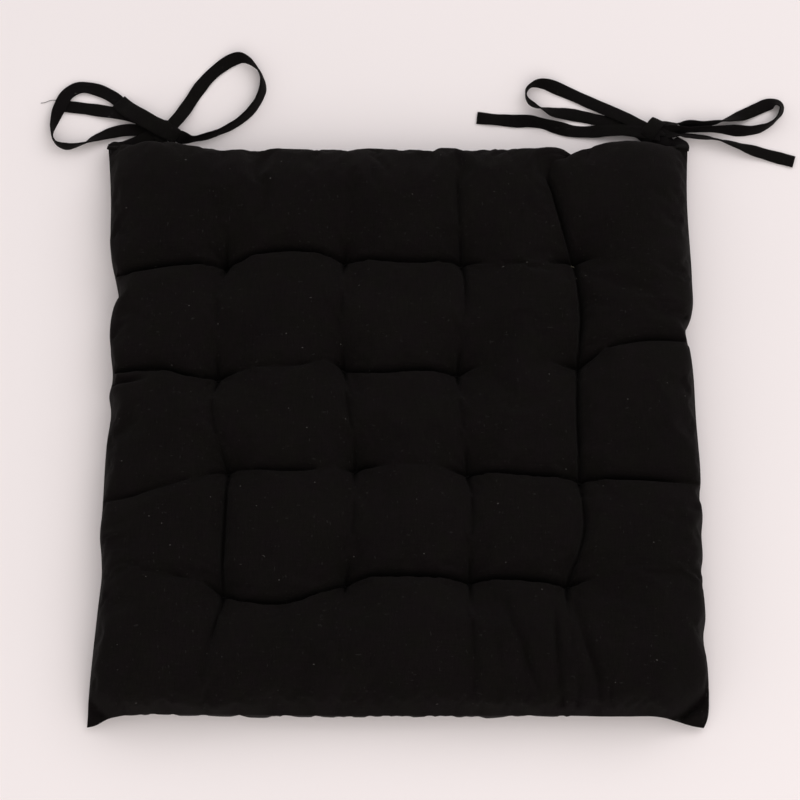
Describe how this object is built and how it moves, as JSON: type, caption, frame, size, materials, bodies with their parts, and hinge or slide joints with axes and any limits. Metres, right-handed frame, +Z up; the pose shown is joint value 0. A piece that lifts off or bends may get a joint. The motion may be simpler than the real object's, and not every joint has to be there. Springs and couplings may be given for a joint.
{
  "type": "chair seat pad",
  "caption": "Square tufted cotton chair seat pad with a bow of flat fabric ties at each rear corner.",
  "frame": {"origin": "on the surface the pad lies on, under the middle of the pad", "axes": "+Z up, +Y towards the rear edge that carries the ties, +X to the right seen from the front"},
  "size_m": [0.5116, 0.4771, 0.0426],
  "materials": {
    "cover_cotton": "plain-weave cotton, matt, dyed black",
    "tie_cotton": "folded and topstitched strip of the same black cotton",
    "wadding": "loose polyester fibre, off-white",
    "thread": "black sewing thread, slight sheen"
  },
  "bodies": {
    "pad": {"top_cover": "cover_cotton", "bottom_cover": "cover_cotton", "filling": "wadding", "edge_seam_thread": "thread", "closing_seam_thread": "thread", "tie_root_left": "tie_cotton", "tie_root_right": "tie_cotton", "tuft_stitch_r1c1": "thread", "tuft_stitch_r1c2": "thread", "tuft_stitch_r1c3": "thread", "tuft_stitch_r1c4": "thread", "tuft_stitch_r2c1": "thread", "tuft_stitch_r2c2": "thread", "tuft_stitch_r2c3": "thread", "tuft_stitch_r2c4": "thread", "tuft_stitch_r3c1": "thread", "tuft_stitch_r3c2": "thread", "tuft_stitch_r3c3": "thread", "tuft_stitch_r3c4": "thread", "tuft_stitch_r4c1": "thread", "tuft_stitch_r4c2": "thread", "tuft_stitch_r4c3": "thread", "tuft_stitch_r4c4": "thread"},
    "bow_left": {"tie_left_outer": "tie_cotton", "tie_left_inner": "tie_cotton"},
    "bow_right": {"tie_right_outer": "tie_cotton", "tie_right_inner": "tie_cotton"}
  },
  "joints": [
    {"name": "bow_left_swing", "type": "hinge", "parent": "pad", "child": "bow_left", "pos_m": [-0.19, 0.205, 0.004], "axis": [1, 0, 0], "range_deg": [-75, 60]},
    {"name": "bow_right_swing", "type": "hinge", "parent": "pad", "child": "bow_right", "pos_m": [0.193, 0.205, 0.004], "axis": [1, 0, 0], "range_deg": [-75, 60]}
  ]
}
